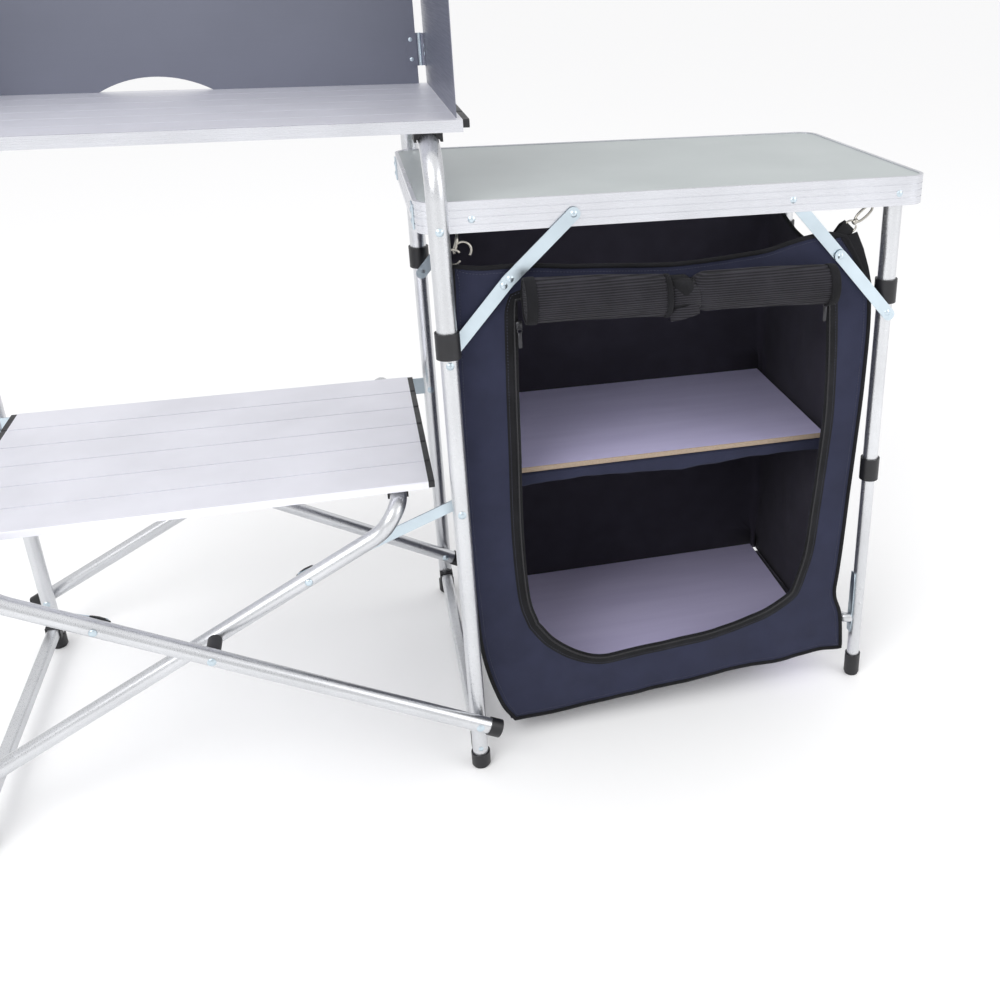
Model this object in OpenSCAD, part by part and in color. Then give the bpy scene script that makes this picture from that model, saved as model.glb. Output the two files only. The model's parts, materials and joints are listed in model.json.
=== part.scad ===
// Folding camp kitchen: a slatted stove stand on crossed tubes, joined to a cupboard side table.
// The origin is on the floor under the middle of the whole outfit; +Z is up, -Y is the front.

/* [Overall] */
// Height of the cupboard table's top
table_h = 800; // [700:5:850]
// Height of the stove stand's top
stove_h = 895; // [860:5:950]
// Height of the lower slatted shelf's top
shelf_h = 437; // [430:1:440]

/* [Cupboard table] */
// Width of the table top
table_w = 675; // [620:5:720]
// Depth of the table top
table_d = 399; // [399:1:401]
// Corner radius of the table top
corner_r = 28; // [15:1:40]
// Height of the aluminium rim
rim_h = 38; // [30:1:40]
// Wall of the aluminium rim
rim_t = 1.6; // [1:0.1:2]

/* [Stove stand] */
// Distance between the two leg frames, centre to centre
stand_w = 647; // [600:1:680]
// How far the stove top reaches past the leg frames at each end
stove_over = 46; // [36:1:50]
// How far the table's left edge lies left of the middle leg frame
table_tuck = 25; // [20:1:28]
// Width of one slat
slat_w = 66; // [64:0.5:66]
// Thickness of a slat
slat_t = 10; // [8:0.5:10]
// Number of slats in a top
slat_n = 6; // [6:1:6]
// Height of the wind shield
shield_h = 250; // [200:5:300]

/* [Tubes] */
// Outer radius of the upper leg tubes
top_r = 12.5; // [12:0.1:12.5]
// Outer radius of the lower leg tubes and crossed tubes
low_r = 11; // [10:0.1:11]
// Outer radius of the telescopic foot tubes
foot_tube_r = 9.7; // [9.6:0.05:9.7]
// Wall of the tubes
wall = 1.2; // [1:0.1:1.2]
// Outward lean of each stand leg between the floor and the table's height
lean = 26; // [20:1:28]
// Bend radius at the top of the leg frames
bend_r = 60; // [50:1:65]

/* [Crossed tubes] */
// Height of the lower pivots on the legs
pivot_z = 88; // [80:1:95]
// Height of the crossing
cross_z = 261; // [250:1:265]
// Height of the braces' pivots on the legs
strut_z = 403; // [395:1:410]
// Distance from the crossing to a brace's far end, along the tube
strut_at = 140; // [130:1:145]

/* [Larder] */
// Height of the larder's top edge
bag_top = 722; // [700:1:730]
// Height of the middle board
shelf_board_z = 402; // [380:1:420]
// Height of the bottom board
floor_board_z = 58; // [50:1:70]

/* [Hidden] */
$fn = 48;

silver = [0.78, 0.79, 0.80];
zinc = [0.72, 0.76, 0.80];
black = [0.08, 0.08, 0.09];
navy = [0.10, 0.12, 0.22];
laminate = [0.72, 0.76, 0.74];

fit = 0.05;
gap = 0.4;
seam = 0.02;
head_gap = 0.25;
over = 1;

// Places along X
total_w = stove_over + stand_w + table_w - table_tuck;
leg_x = -total_w / 2 + stove_over + stand_w;
left_x = leg_x - stand_w;
stand_x = leg_x - stand_w / 2;
table_x0 = leg_x - table_tuck;
table_x1 = table_x0 + table_w;
table_x = (table_x0 + table_x1) / 2;

// Places along Y
half_d = table_d / 2;
leg_top_y = half_d + top_r + 2.5;
tilt = atan(lean / table_h);
outer_y = leg_top_y + 47.5;
inner_y = leg_top_y - 1;
function leg_y(z) = leg_top_y + lean * (table_h - z) / table_h;

// Leg frame
stove_under = stove_h - 14;
run_z = stove_under - 2 - top_r - 0.5;
bend_z = run_z - bend_r * (1 - sin(tilt));
bend_y = leg_y(bend_z) - bend_r * cos(tilt);
joint_z = 630;
connector_h = 33;
connector_r = 15.5;

// Crossed tubes, seen from the front: the inner pair rises to the right
half_w = stand_w / 2;
rise = cross_z - pivot_z;
slope = atan(rise / half_w);
half_len = sqrt(half_w * half_w + rise * rise);
tail = 28;
curve_r = 60;
curve_a = 25;
elbow_r = 30;
shelf_under = shelf_h - slat_t;
pad_t = 2;
top_tube_z = shelf_under - pad_t - low_r - 0.3;
climb = curve_r * (cos(slope) - cos(slope + curve_a)) + elbow_r * sin(slope + curve_a);
straight_len = half_len + (top_tube_z - climb - cross_z) / sin(slope);
strut_dx = strut_at * cos(slope);
strut_dz = strut_at * sin(slope);
strut_len = sqrt(pow(half_w - strut_dx, 2) + pow(strut_z - cross_z - strut_dz, 2));
strut_a = atan((strut_z - cross_z - strut_dz) / (half_w - strut_dx));
strut_t = 2;
strut_front_y = -inner_y + low_r + 0.6;
strut_back_y = outer_y - low_r - 0.6 - strut_t;

// Stove top and wind shield
stove_len = stand_w + 2 * stove_over;
cap_len = 8;
top_d = slat_n * slat_w;
stove_y0 = -half_d - 3;
shield_t = 1;
notch_r = 152;
notch_h = 19;
notch_shift = 14;
shield_z0 = stove_h + 1;
shield_y = stove_y0 + top_d - 6;
shield_half = stove_len / 2 - 26.5;
wing_x = stove_len / 2 - 15;
hinge_y = shield_y + 2.5;
wing_d = top_d - 8;

// Cupboard legs
cab_leg_x = table_x1 - 44;
cab_leg_y = half_d - rim_t - 14;
cab_joint_z = 642;
collar_z = 351;
collar_h = 34;
brace_z = 107;
brace_r = 8;

// Knee links, as points in the XZ plane
link_t = 1.4;
link_w = 17;
rivet_z = table_h - 22;
left_knee_x = table_x0 + 190;
left_knee = [table_x0 + 108, table_h - 98];
left_knee_foot = [table_x0 + 28, table_h - 190];
left_knee_y = -half_d - 3.2;
knee_x = table_x0 + 480;
right_knee = [table_x0 + 552, table_h - 101];
right_knee_foot = [cab_leg_x - 3, table_h - 186];
right_knee_y = -half_d + rim_t + 0.05;
right_low_y = -cab_leg_y - connector_r - link_t - 0.1;

// Larder
bag_y0 = -half_d + 5;
bag_y1 = half_d - 46;
bag_t = 1.6;
bag_x0 = table_x0 + 43;
bag_x1 = table_x0 + 592;
door_x0 = table_x0 + 119;
door_x1 = table_x0 + 540;
roll_r = 24;
roll_z = 676;
roll_y = bag_y0 - roll_r - 3.5;

// ---------------------------------------------------------------- helpers
module at_y(y0, y1, x, z, r) {
  translate([x, y1, z]) rotate([90, 0, 0]) cylinder(r = r, h = y1 - y0);
}
module dome(r, h) {
  ball = (r * r + h * h) / (2 * h);
  intersection() {
    translate([0, 0, h - ball]) sphere(r = ball);
    cylinder(r = r + 1, h = h + 1);
  }
}
// A dome-headed rivet along Y; the heads sit on the planes y0 and y1
module rivet(y0, y1, x, z, r = 3, head = 5.5, h = 2) {
  at_y(y0, y1, x, z, r);
  translate([x, y0, z]) rotate([90, 0, 0]) dome(head, h);
  translate([x, y1, z]) rotate([-90, 0, 0]) dome(head, h);
}
module front_rivet(y, x, z, head = 4.5, h = 1.8) {
  translate([x, y, z]) rotate([90, 0, 0]) dome(head, h);
}
module both_sides() {
  children();
  mirror([0, 1, 0]) children();
}
module rounded(w, d, r) {
  square([w - 2 * r, d], center = true);
  square([w, d - 2 * r], center = true);
  for (x = [-1, 1], y = [-1, 1])
    translate([x * (w / 2 - r), y * (d / 2 - r)]) circle(r = r);
}
// Flat bar in the XZ plane with round ends, from one hole to the next
module link(x0, z0, x1, z1, y0, t, w, hole = 3 + fit, end_past = 0) {
  len = sqrt(pow(x1 - x0, 2) + pow(z1 - z0, 2));
  a = atan2(z1 - z0, x1 - x0);
  translate([x0, y0 + t, z0]) rotate([90, 0, 0]) rotate([0, 0, a])
    linear_extrude(height = t) difference() {
      union() {
        circle(r = w / 2);
        translate([len + end_past, 0]) circle(r = w / 2);
        translate([0, -w / 2]) square([len + end_past, w]);
      }
      circle(r = hole);
      translate([len, 0]) circle(r = hole);
    }
}

// ---------------------------------------------------------------- leg frames
// The top of an arch as a solid, for cutting its saddles
module arch_top(r) {
  both_sides() {
    translate([0, -bend_y, bend_z - bend_r * sin(tilt)]) rotate([0, 90, 0]) rotate([0, 0, 180])
      rotate_extrude(angle = 90 - tilt) translate([bend_r, 0]) circle(r = r);
    translate([0, -bend_y, run_z]) rotate([-90, 0, 0]) cylinder(r = r, h = bend_y);
  }
}
module tube_length(r, h) {
  difference() {
    cylinder(r = r, h = h);
    translate([0, 0, -over]) cylinder(r = r - wall, h = h + 2 * over);
  }
}
module arch_side() {
  len = (bend_z - joint_z) / cos(tilt) - seam;
  translate([0, -leg_y(joint_z), joint_z]) rotate([-tilt, 0, 0]) tube_length(top_r, len);
  translate([0, -bend_y, bend_z - bend_r * sin(tilt)]) rotate([0, 90, 0]) rotate([0, 0, 180])
    rotate_extrude(angle = 90 - tilt) translate([bend_r, 0]) difference() {
      circle(r = top_r);
      circle(r = top_r - wall);
    }
}
module leg_arch() {
  both_sides() arch_side();
  translate([0, seam - bend_y, run_z]) rotate([-90, 0, 0]) tube_length(top_r, 2 * (bend_y - seam));
}
module leg_segment(z0, z1, r) {
  translate([0, -leg_y(z0), z0]) rotate([-tilt, 0, 0]) cylinder(r = r, h = (z1 - z0) / cos(tilt));
}
module leg_connectors() {
  both_sides() difference() {
    leg_segment(joint_z - connector_h / 2, joint_z + connector_h / 2, connector_r);
    leg_segment(joint_z, joint_z + connector_h, top_r + fit);
    leg_segment(joint_z - connector_h, joint_z + over, low_r + fit);
  }
}
module lower_legs() {
  both_sides() difference() {
    leg_segment(6, joint_z - 0.5, low_r);
    leg_segment(5, joint_z, low_r - wall);
    for (z = [pivot_z, strut_z]) at_y(-300, -100, 0, z, 3 + fit);
  }
}
module leg_feet() {
  both_sides() difference() {
    translate([0, -leg_y(12), 0]) union() {
      cylinder(r = 11.5, h = 3);
      translate([0, 0, 3]) cylinder(r = 13.3, h = 20);
    }
    leg_segment(6, 40, low_r + fit);
  }
}
bar_z = 34;
bar_h = 18;
bar_end = leg_y(bar_z) - low_r - 1.5;
module foot_bar() {
  difference() {
    translate([0, bar_end, bar_z]) rotate([90, 0, 0]) linear_extrude(height = 2 * bar_end)
      rounded(18, bar_h, 4);
    translate([0, bar_end + over, bar_z]) rotate([90, 0, 0])
      linear_extrude(height = 2 * bar_end + 2 * over) rounded(15.6, bar_h - 2.4, 3);
  }
}
module bar_saddles() {
  both_sides() difference() {
    translate([-11, -leg_y(bar_z) + 2, bar_z - 10.5]) cube([22, 16, 21.5]);
    leg_segment(5, 80, low_r + fit);
    translate([0, -bar_end + 22, bar_z]) rotate([90, 0, 0]) linear_extrude(height = 22)
      rounded(18.1, bar_h + 0.1, 4);
    leg_feet_clear();
  }
}
module leg_feet_clear() {
  translate([0, -leg_y(12), 0]) cylinder(r = 13.5, h = 23.2);
}
// Rivets under the connectors and on the saddles, on the outer faces
module leg_rivets() {
  both_sides() {
    front_rivet(-leg_y(606) - low_r - head_gap, 0, 606, 5, 2.2);
    front_rivet(-leg_y(bar_z) - low_r - head_gap, 0, bar_z, 3.5, 1.2);
  }
}

// ---------------------------------------------------------------- crossed tubes
// One arm in its own frame: it starts past the lower pivot and runs along +X
module arm_straight(y, r, past = 0) {
  translate([-tail - past, y, 0]) rotate([0, 90, 0]) cylinder(r = r, h = tail + straight_len + 2 * past);
}
module pipe_bend(bend, angle) {
  rotate_extrude(angle = angle) translate([bend, 0]) difference() {
    circle(r = low_r);
    circle(r = low_r - wall);
  }
}
// The arm's upward curve, and the elbow that turns it toward the other arm
module arm_bends(y, side) {
  translate([straight_len + seam, y, curve_r]) rotate([90, 0, 0]) rotate([0, 0, -90])
    pipe_bend(curve_r, curve_a);
  translate([straight_len + seam + curve_r * sin(curve_a), y, curve_r * (1 - cos(curve_a))])
    rotate([0, -curve_a, 0]) translate([seam, -side * elbow_r, 0]) rotate([0, 0, side < 0 ? -90 : 0])
      pipe_bend(elbow_r, 90);
}
elbow_x = straight_len + seam + curve_r * sin(curve_a) + (elbow_r + seam) * cos(curve_a);
elbow_z = curve_r * (1 - cos(curve_a)) + (elbow_r + seam) * sin(curve_a);
// Two arms at y_neg and y_pos, and the bar that joins them at the top
module cross_pair(y_neg, y_pos) {
  bar_len = y_pos - y_neg - 2 * elbow_r - 2 * seam;
  difference() {
    union() {
      arm_straight(y_neg, low_r);
      arm_straight(y_pos, low_r);
    }
    arm_straight(y_neg, low_r - wall, over);
    arm_straight(y_pos, low_r - wall, over);
    for (s = [0, half_len]) at_y(y_neg - 20, y_pos + 20, s, 0, 3 + fit);
  }
  arm_bends(y_neg, -1);
  arm_bends(y_pos, 1);
  translate([elbow_x, y_neg + elbow_r + seam, elbow_z]) rotate([-90, 0, 0]) difference() {
    cylinder(r = low_r, h = bar_len);
    translate([0, 0, -over]) cylinder(r = low_r - wall, h = bar_len + 2 * over);
  }
}
module cross_caps(y_neg, y_pos) {
  for (y = [y_neg, y_pos]) translate([-tail - 3, y, 0]) rotate([0, 90, 0]) difference() {
    cylinder(r = low_r + 1.6, h = 17);
    translate([0, 0, 3]) cylinder(r = low_r + fit, h = 17);
  }
}
// Inner pair: left lower pivots, rising to the right
module place_inner() {
  translate([left_x, 0, pivot_z]) rotate([0, -slope, 0]) children();
}
// Outer pair: the same frame turned half round about the stand's middle
module place_outer() {
  translate([stand_x, 0, 0]) rotate([0, 0, 180]) translate([-stand_x, 0, 0]) place_inner() children();
}
cross_top_x = left_x + elbow_x * cos(slope) - elbow_z * sin(slope);
module pads() {
  for (y = [-170, 170]) difference() {
    translate([cross_top_x - 13.5, y - 9, top_tube_z - 4]) cube([27, 18, low_r + pad_t + 4]);
    translate([cross_top_x, y + 30, top_tube_z]) rotate([90, 0, 0]) cylinder(r = low_r + fit, h = 60);
  }
}
module turn_stand() {
  translate([stand_x, 0, 0]) rotate([0, 0, 180]) translate([-stand_x, 0, 0]) children();
}
// Rivet of one crossing, and the spacer that fills the space between its two tubes
module crossing_rivet() {
  rivet(-outer_y - low_r, -inner_y + low_r, stand_x, cross_z);
}
module crossing_spacer(y0, y1) {
  difference() {
    at_y(y0, y1, stand_x, cross_z, 9);
    place_outer() arm_straight(-inner_y, low_r + fit);
    place_outer() arm_straight(outer_y, low_r + fit);
    at_y(y0 - over, y1 + over, stand_x, cross_z, 3 + fit);
  }
}

// ---------------------------------------------------------------- slatted tops
module slat(len, t) {
  groove = 1.2;
  difference() {
    translate([-len / 2, 0.5, -t]) cube([len, slat_w - 1, t]);
    translate([-len / 2 - 1, 1.8, -t + 1.3]) cube([len + 2, slat_w - 3.6, t - 2.6]);
    for (y = [0, slat_w - groove]) translate([-len / 2 - 1, y, -groove]) cube([len + 2, groove, groove + 1]);
  }
}
module slats(len, y0, z) {
  for (i = [0 : slat_n - 1]) translate([stand_x, y0 + i * slat_w, z]) slat(len, slat_t);
}
module slat_caps(len, y0, z) {
  for (i = [0 : slat_n - 1], side = [-1, 1])
    translate([stand_x + side * len / 2, y0 + (i + 0.5) * slat_w, z - slat_t / 2]) rotate([0, side * 90, 0])
      linear_extrude(height = cap_len) rounded(slat_t, slat_w - 2, 3);
}
shelf_len = stand_w - 2 * 29 - 2 * cap_len;
shelf_y0 = -top_d / 2;

// ---------------------------------------------------------------- table
module table_board() {
  color(laminate) translate([table_x, 0, table_h - 12]) linear_extrude(height = 10.6)
    rounded(table_w - 2 * rim_t - 0.2, table_d - 2 * rim_t - 0.2, corner_r - rim_t);
}
module table_rim() {
  color(silver) difference() {
    translate([table_x, 0, table_h - rim_h]) linear_extrude(height = rim_h)
      rounded(table_w, table_d, corner_r);
    translate([table_x, 0, table_h - rim_h - over]) linear_extrude(height = rim_h - 1.3 + over)
      rounded(table_w - 2 * rim_t, table_d - 2 * rim_t, corner_r - rim_t);
    translate([table_x, 0, table_h - 3]) linear_extrude(height = 5)
      rounded(table_w - 10, table_d - 10, corner_r - 5);
    for (z = [10, 19, 28]) translate([table_x, 0, table_h - z - 0.7]) linear_extrude(height = 1.4)
      difference() {
        rounded(table_w + 4, table_d + 4, corner_r + 2);
        rounded(table_w - 1.2, table_d - 1.2, corner_r - 0.6);
      }
    for (x = [cab_leg_x, knee_x]) at_y(-300, 300, x, rivet_z, 3 + fit);
  }
}
module rim_rivets() {
  color(zinc) both_sides() {
    for (x = [table_x0 + 66, knee_x, cab_leg_x]) front_rivet(-half_d, x, rivet_z);
  }
}

// ---------------------------------------------------------------- cupboard legs
module cab_tube(z0, z1, r) {
  both_sides() translate([cab_leg_x, -cab_leg_y, z0]) difference() {
    cylinder(r = r, h = z1 - z0);
    translate([0, 0, -over]) cylinder(r = r - wall, h = z1 - z0 + 2 * over);
  }
}
module cabinet_upper_legs() {
  color(silver) cab_tube(cab_joint_z, table_h - 13, top_r);
}
module cabinet_leg_connectors() {
  color(black) both_sides() translate([cab_leg_x, -cab_leg_y, cab_joint_z - connector_h / 2]) difference() {
    cylinder(r = connector_r, h = connector_h);
    translate([0, 0, connector_h / 2]) cylinder(r = top_r + fit, h = connector_h);
    translate([0, 0, -over]) cylinder(r = low_r + fit, h = connector_h / 2 + 2 * over);
  }
}
module cabinet_lower_legs() {
  color(silver) cab_tube(collar_z + 12, cab_joint_z - 0.5, low_r);
}
module cabinet_leg_collars() {
  color(black) both_sides() translate([cab_leg_x, -cab_leg_y, collar_z]) difference() {
    cylinder(r = 14, h = collar_h);
    translate([0, 0, -over]) cylinder(r = foot_tube_r + fit, h = collar_h + 2 * over);
    translate([0, 0, 12]) cylinder(r = low_r + fit, h = collar_h);
  }
}
module cabinet_foot_tubes() {
  color(silver) both_sides() translate([cab_leg_x, -cab_leg_y, 6]) difference() {
    cylinder(r = foot_tube_r, h = 430);
    translate([0, 0, -over]) cylinder(r = foot_tube_r - wall, h = 440);
  }
  color(zinc) both_sides() for (z = [135, 163])
    translate([cab_leg_x, -cab_leg_y - foot_tube_r + 0.3, z]) rotate([90, 0, 0]) dome(3.4, 1.4);
}
module cabinet_feet() {
  color(black) both_sides() translate([cab_leg_x, -cab_leg_y, 0]) difference() {
    union() {
      cylinder(r = 10.5, h = 4);
      translate([0, 0, 4]) cylinder(r = 12, h = 34);
    }
    translate([0, 0, 6]) cylinder(r = foot_tube_r + fit, h = 40);
  }
}
// Low brace: out of each foot tube toward the larder, then straight back
module brace_half(r, ext) {
  x1 = cab_leg_x - foot_tube_r - 0.1;
  bend = 18;
  run_x = x1 - 1 - bend;
  translate([x1 + ext, -cab_leg_y, brace_z]) rotate([0, -90, 0]) cylinder(r = r, h = 1 + ext);
  translate([x1 - 1, -cab_leg_y + bend, brace_z]) rotate([0, 0, 180])
    rotate_extrude(angle = 90) translate([bend, 0]) circle(r = r);
  translate([run_x, -cab_leg_y + bend, brace_z]) rotate([-90, 0, 0]) cylinder(r = r, h = cab_leg_y - bend);
}
module cabinet_low_brace() {
  color(silver) difference() {
    both_sides() brace_half(brace_r, 0);
    both_sides() brace_half(brace_r - wall, 1);
  }
}

// ---------------------------------------------------------------- knee links
// Two flat bars that meet at a knee; the first bar lies at y0 and the second at y1
module knee(start, middle, finish, y0, y1) {
  link(start[0], start[1], middle[0], middle[1], y0, link_t, link_w, 3 + fit, 5);
  link(middle[0], middle[1], finish[0], finish[1], y1, link_t, link_w, 3 + fit, 4);
}
module left_knee_links() {
  color(zinc) both_sides()
    knee([left_knee_x, rivet_z], left_knee, left_knee_foot, left_knee_y, left_knee_y + link_t + 0.1);
}
module right_knee_links() {
  color(zinc) both_sides()
    knee([knee_x, rivet_z], right_knee, right_knee_foot, right_knee_y, right_low_y);
}
module knee_rivets() {
  color(zinc) both_sides() {
    front_rivet(left_knee_y, left_knee[0], left_knee[1]);
    front_rivet(left_knee_y, left_knee[0] - 8, left_knee[1] - 8);
    front_rivet(left_knee_y, left_knee_x, rivet_z);
    front_rivet(right_low_y, right_knee[0], right_knee[1]);
    front_rivet(right_low_y, right_knee_foot[0], right_knee_foot[1]);
  }
}
// Zinc plates that tie the middle leg frame to the table's left edge
module leg_brackets() {
  color(zinc) both_sides() translate([table_x0 - 1.6, -half_d + 26, table_h - rim_h + 2])
    union() {
      cube([1.5, 26, 30]);
      for (z = [8, 22]) translate([0, 13, z]) rotate([0, -90, 0]) dome(4, 1.6);
    }
  color(zinc) both_sides() front_rivet(-leg_y(771) - top_r - head_gap, leg_x, 771, 5, 2.2);
}

// ---------------------------------------------------------------- larder
// Outline seen from the front: the left side leans in and the left bottom corner hangs low
module bag_outline(inset = 0) {
  polygon([
    [bag_x0 + inset, bag_top + over * inset], [bag_x1 - inset, bag_top + over * inset],
    [bag_x1 + 2 - inset, 630], [bag_x1 - 6 - inset, 55 + inset], [bag_x0 + 30 + inset, 42 + inset]
  ]);
}
module door_outline(grow = 0) {
  polygon([
    [door_x0 - grow, 668 + grow], [door_x0 + 2 - grow, 190], [door_x0 + 32, 156 - grow / 2],
    [door_x0 + 84, 124 - grow], [door_x0 + 250, 132 - grow], [door_x0 + 380, 174 - grow],
    [door_x1 - 24 + grow, 228], [door_x1 + grow, 440], [door_x1 - 12 + grow, 668 + grow]
  ]);
}
module front_prism(y0, y1) {
  translate([0, y1, 0]) rotate([90, 0, 0]) linear_extrude(height = y1 - y0) children();
}
module larder_bag() {
  color(navy) difference() {
    front_prism(bag_y0, bag_y1) bag_outline();
    front_prism(bag_y0 + bag_t, bag_y1 - bag_t) bag_outline(bag_t);
    front_prism(bag_y0 - over, bag_y0 + 2 * bag_t) door_outline();
    translate([bag_x0 - 20, bag_y0 + bag_t, bag_top - 5])
      cube([bag_x1 - bag_x0 + 40, bag_y1 - bag_y0 - 2 * bag_t, 20]);
  }
}
module larder_shelf_board() {
  color([0.78, 0.76, 0.82]) translate([bag_x0 + 48, bag_y0 + 60, shelf_board_z])
    cube([bag_x1 - bag_x0 - 62, bag_y1 - bag_y0 - 64, 8]);
}
module larder_floor_board() {
  color([0.78, 0.76, 0.82]) translate([bag_x0 + 36, bag_y0 + 6, floor_board_z])
    cube([bag_x1 - bag_x0 - 50, bag_y1 - bag_y0 - 12, 5]);
}
module larder_zip_track() {
  color(black) front_prism(bag_y0 - 1.4, bag_y0 - 0.1) difference() {
    door_outline(5);
    door_outline();
    translate([door_x0 - 20, 655]) square([500, 40]);
  }
}
module roll_body(x0, x1, z) {
  translate([x0, roll_y, z]) rotate([0, 90, 0]) cylinder(r = roll_r, h = x1 - x0);
}
roll_split = table_x0 + 338;
module mesh_door_roll() {
  color(black) {
    roll_body(door_x0 + 6, roll_split - 12, roll_z);
    roll_body(roll_split + 12, door_x1 - 16, roll_z);
    roll_body(roll_split - 11.8, roll_split + 11.8, roll_z);
  }
}
module roll_strap() {
  color(black) difference() {
    translate([roll_split - 9, roll_y, roll_z]) rotate([0, 90, 0]) cylinder(r = roll_r + 1.4, h = 18);
    translate([roll_split - 10, roll_y, roll_z]) rotate([0, 90, 0]) cylinder(r = roll_r + 0.1, h = 20);
  }
}
module ring(r, wire) {
  rotate_extrude() translate([r, 0]) circle(r = wire);
}
// Steel ring over a hook at the left front, tied to the middle leg
ring_z = bag_top + 12;
module left_hanging_ring() {
  color(zinc) both_sides() translate([bag_x0 + 3, -half_d + 13, ring_z]) rotate([90, 0, 0]) ring(10, 1.5);
}
loop_x = bag_x1 - 14;
module right_hanging_loop() {
  color(black) both_sides() translate([loop_x - 12, -half_d + 9, bag_top - 30]) cube([22, 2, 43]);
}
module right_snap_hook() {
  color(zinc) both_sides() {
    translate([loop_x - 1, -half_d + 15, bag_top + 14]) rotate([90, 0, 0]) ring(8.5, 1.4);
    translate([loop_x + 14, -half_d + 15, bag_top + 24]) rotate([90, 0, 30]) ring(8, 1.6);
  }
}
module zip_puller(x, z) {
  color(black) translate([x - 3.5, bag_y0 - 5.2, z]) {
    translate([0, 0, 14]) cube([7, 3.6, 10]);
    translate([1.5, 0.6, -8]) cube([4, 1.6, 22]);
  }
}
puller_z = 622;
module left_zip_puller() { zip_puller(door_x0 - 2.3, puller_z); }
module right_zip_puller() { zip_puller(door_x1 - 7.2, puller_z); }

// ---------------------------------------------------------------- frames placed
module middle_leg_arch() { color(silver) translate([leg_x, 0, 0]) leg_arch(); }
module middle_leg_connectors() { color(black) translate([leg_x, 0, 0]) leg_connectors(); }
module middle_lower_legs() { color(silver) translate([leg_x, 0, 0]) lower_legs(); }
module middle_feet() { color(black) translate([leg_x, 0, 0]) leg_feet(); }
module middle_foot_bar() { color(silver) translate([leg_x, 0, 0]) foot_bar(); }
module middle_bar_saddles() { color(black) translate([leg_x, 0, 0]) bar_saddles(); }
module middle_leg_rivets() {
  color(zinc) {
    translate([leg_x, 0, 0]) leg_rivets();
    strut_pivots();
  }
}
module left_leg_arch() { color(silver) translate([left_x, 0, 0]) leg_arch(); }
module left_leg_connectors() { color(black) translate([left_x, 0, 0]) leg_connectors(); }
module left_lower_legs() { color(silver) translate([left_x, 0, 0]) lower_legs(); }
module left_feet() { color(black) translate([left_x, 0, 0]) leg_feet(); }
module left_foot_bar() { color(silver) translate([left_x, 0, 0]) foot_bar(); }
module left_bar_saddles() { color(black) translate([left_x, 0, 0]) bar_saddles(); }
module left_leg_rivets() {
  color(zinc) {
    translate([left_x, 0, 0]) leg_rivets();
    turn_stand() strut_pivots();
    lower_pivots();
  }
}

module inner_cross_tubes() { color(silver) place_inner() cross_pair(-inner_y, outer_y); }
module inner_cross_caps() { color(black) place_inner() cross_caps(-inner_y, outer_y); }
module inner_cross_pads() { color(black) pads(); }
module outer_cross_tubes() { color(silver) place_outer() cross_pair(-inner_y, outer_y); }
module outer_cross_caps() { color(black) place_outer() cross_caps(-inner_y, outer_y); }
module outer_cross_pads() { color(black) turn_stand() pads(); }
module cross_pivots() {
  color(zinc) {
    crossing_rivet();
    turn_stand() crossing_rivet();
    turn_stand() lower_pivots();
  }
}
module crossing_spacers() {
  color(black) {
    crossing_spacer(-outer_y + 2, -inner_y - low_r - 0.3);
    crossing_spacer(inner_y - 2, outer_y - low_r - 0.3);
  }
}
// Lower pivots of the inner pair on the left legs
module lower_pivots() {
  mirror([0, 1, 0]) rivet(-outer_y - low_r, -leg_y(pivot_z) + low_r + head_gap, left_x, pivot_z);
  rivet(-leg_y(pivot_z) - low_r - head_gap, -inner_y + low_r, left_x, pivot_z);
}
// Pivots of the right struts on the middle legs, each with a sleeve between leg and strut
module strut_pivots() {
  leg_at = leg_y(strut_z);
  rivet(-leg_at - low_r - head_gap, strut_front_y + strut_t, leg_x, strut_z);
  at_y(-leg_at + low_r + gap, strut_front_y - 0.2, leg_x, strut_z, 5);
  rivet(leg_at - low_r - head_gap, strut_back_y + strut_t, leg_x, strut_z);
  at_y(leg_at + low_r + gap, strut_back_y - 0.2, leg_x, strut_z, 5);
}
module strut(y0) {
  far_x = leg_x - strut_len * cos(strut_a);
  far_z = strut_z - strut_len * sin(strut_a);
  link(leg_x, strut_z, far_x, far_z, y0, strut_t, 15, 3 + fit, 8);
}
module right_struts() {
  color(zinc) {
    strut(strut_front_y);
    strut(strut_back_y);
  }
}
module left_struts() { turn_stand() right_struts(); }

module shelf_slats() { color(silver) slats(shelf_len, shelf_y0, shelf_h); }
module shelf_end_caps() { color(black) slat_caps(shelf_len, shelf_y0, shelf_h); }
module shelf_hooks() {
  color(zinc) for (side = [-1, 1])
    translate([stand_x + side * (shelf_len / 2 + cap_len + 2) - 16, top_d / 2 + 0.1, shelf_h - 32])
      cube([32, 1.6, 27]);
}
module stove_slats() { color(silver) slats(stove_len - 2 * cap_len, stove_y0, stove_h); }
module stove_rails() {
  color(silver) for (y = [stove_y0 - 2.4, stove_y0 + top_d + 0.4])
    translate([stand_x - stove_len / 2 + cap_len, y, stove_h - 14]) cube([stove_len - 2 * cap_len, 2, 14]);
}
module stove_end_caps() { color(black) slat_caps(stove_len - 2 * cap_len, stove_y0, stove_h); }
module stove_saddles() {
  color(black) for (x = [leg_x, left_x]) both_sides() difference() {
    translate([x - 17, -172, run_z]) cube([34, 30, stove_h - slat_t - run_z]);
    translate([x, 0, 0]) {
      arch_top(top_r + gap);
      translate([-14, -200, run_z - 20]) cube([28, 60, 20.01]);
    }
    translate([x - 14, -200, run_z - over]) cube([28, 60, 4]);
  }
}
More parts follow.
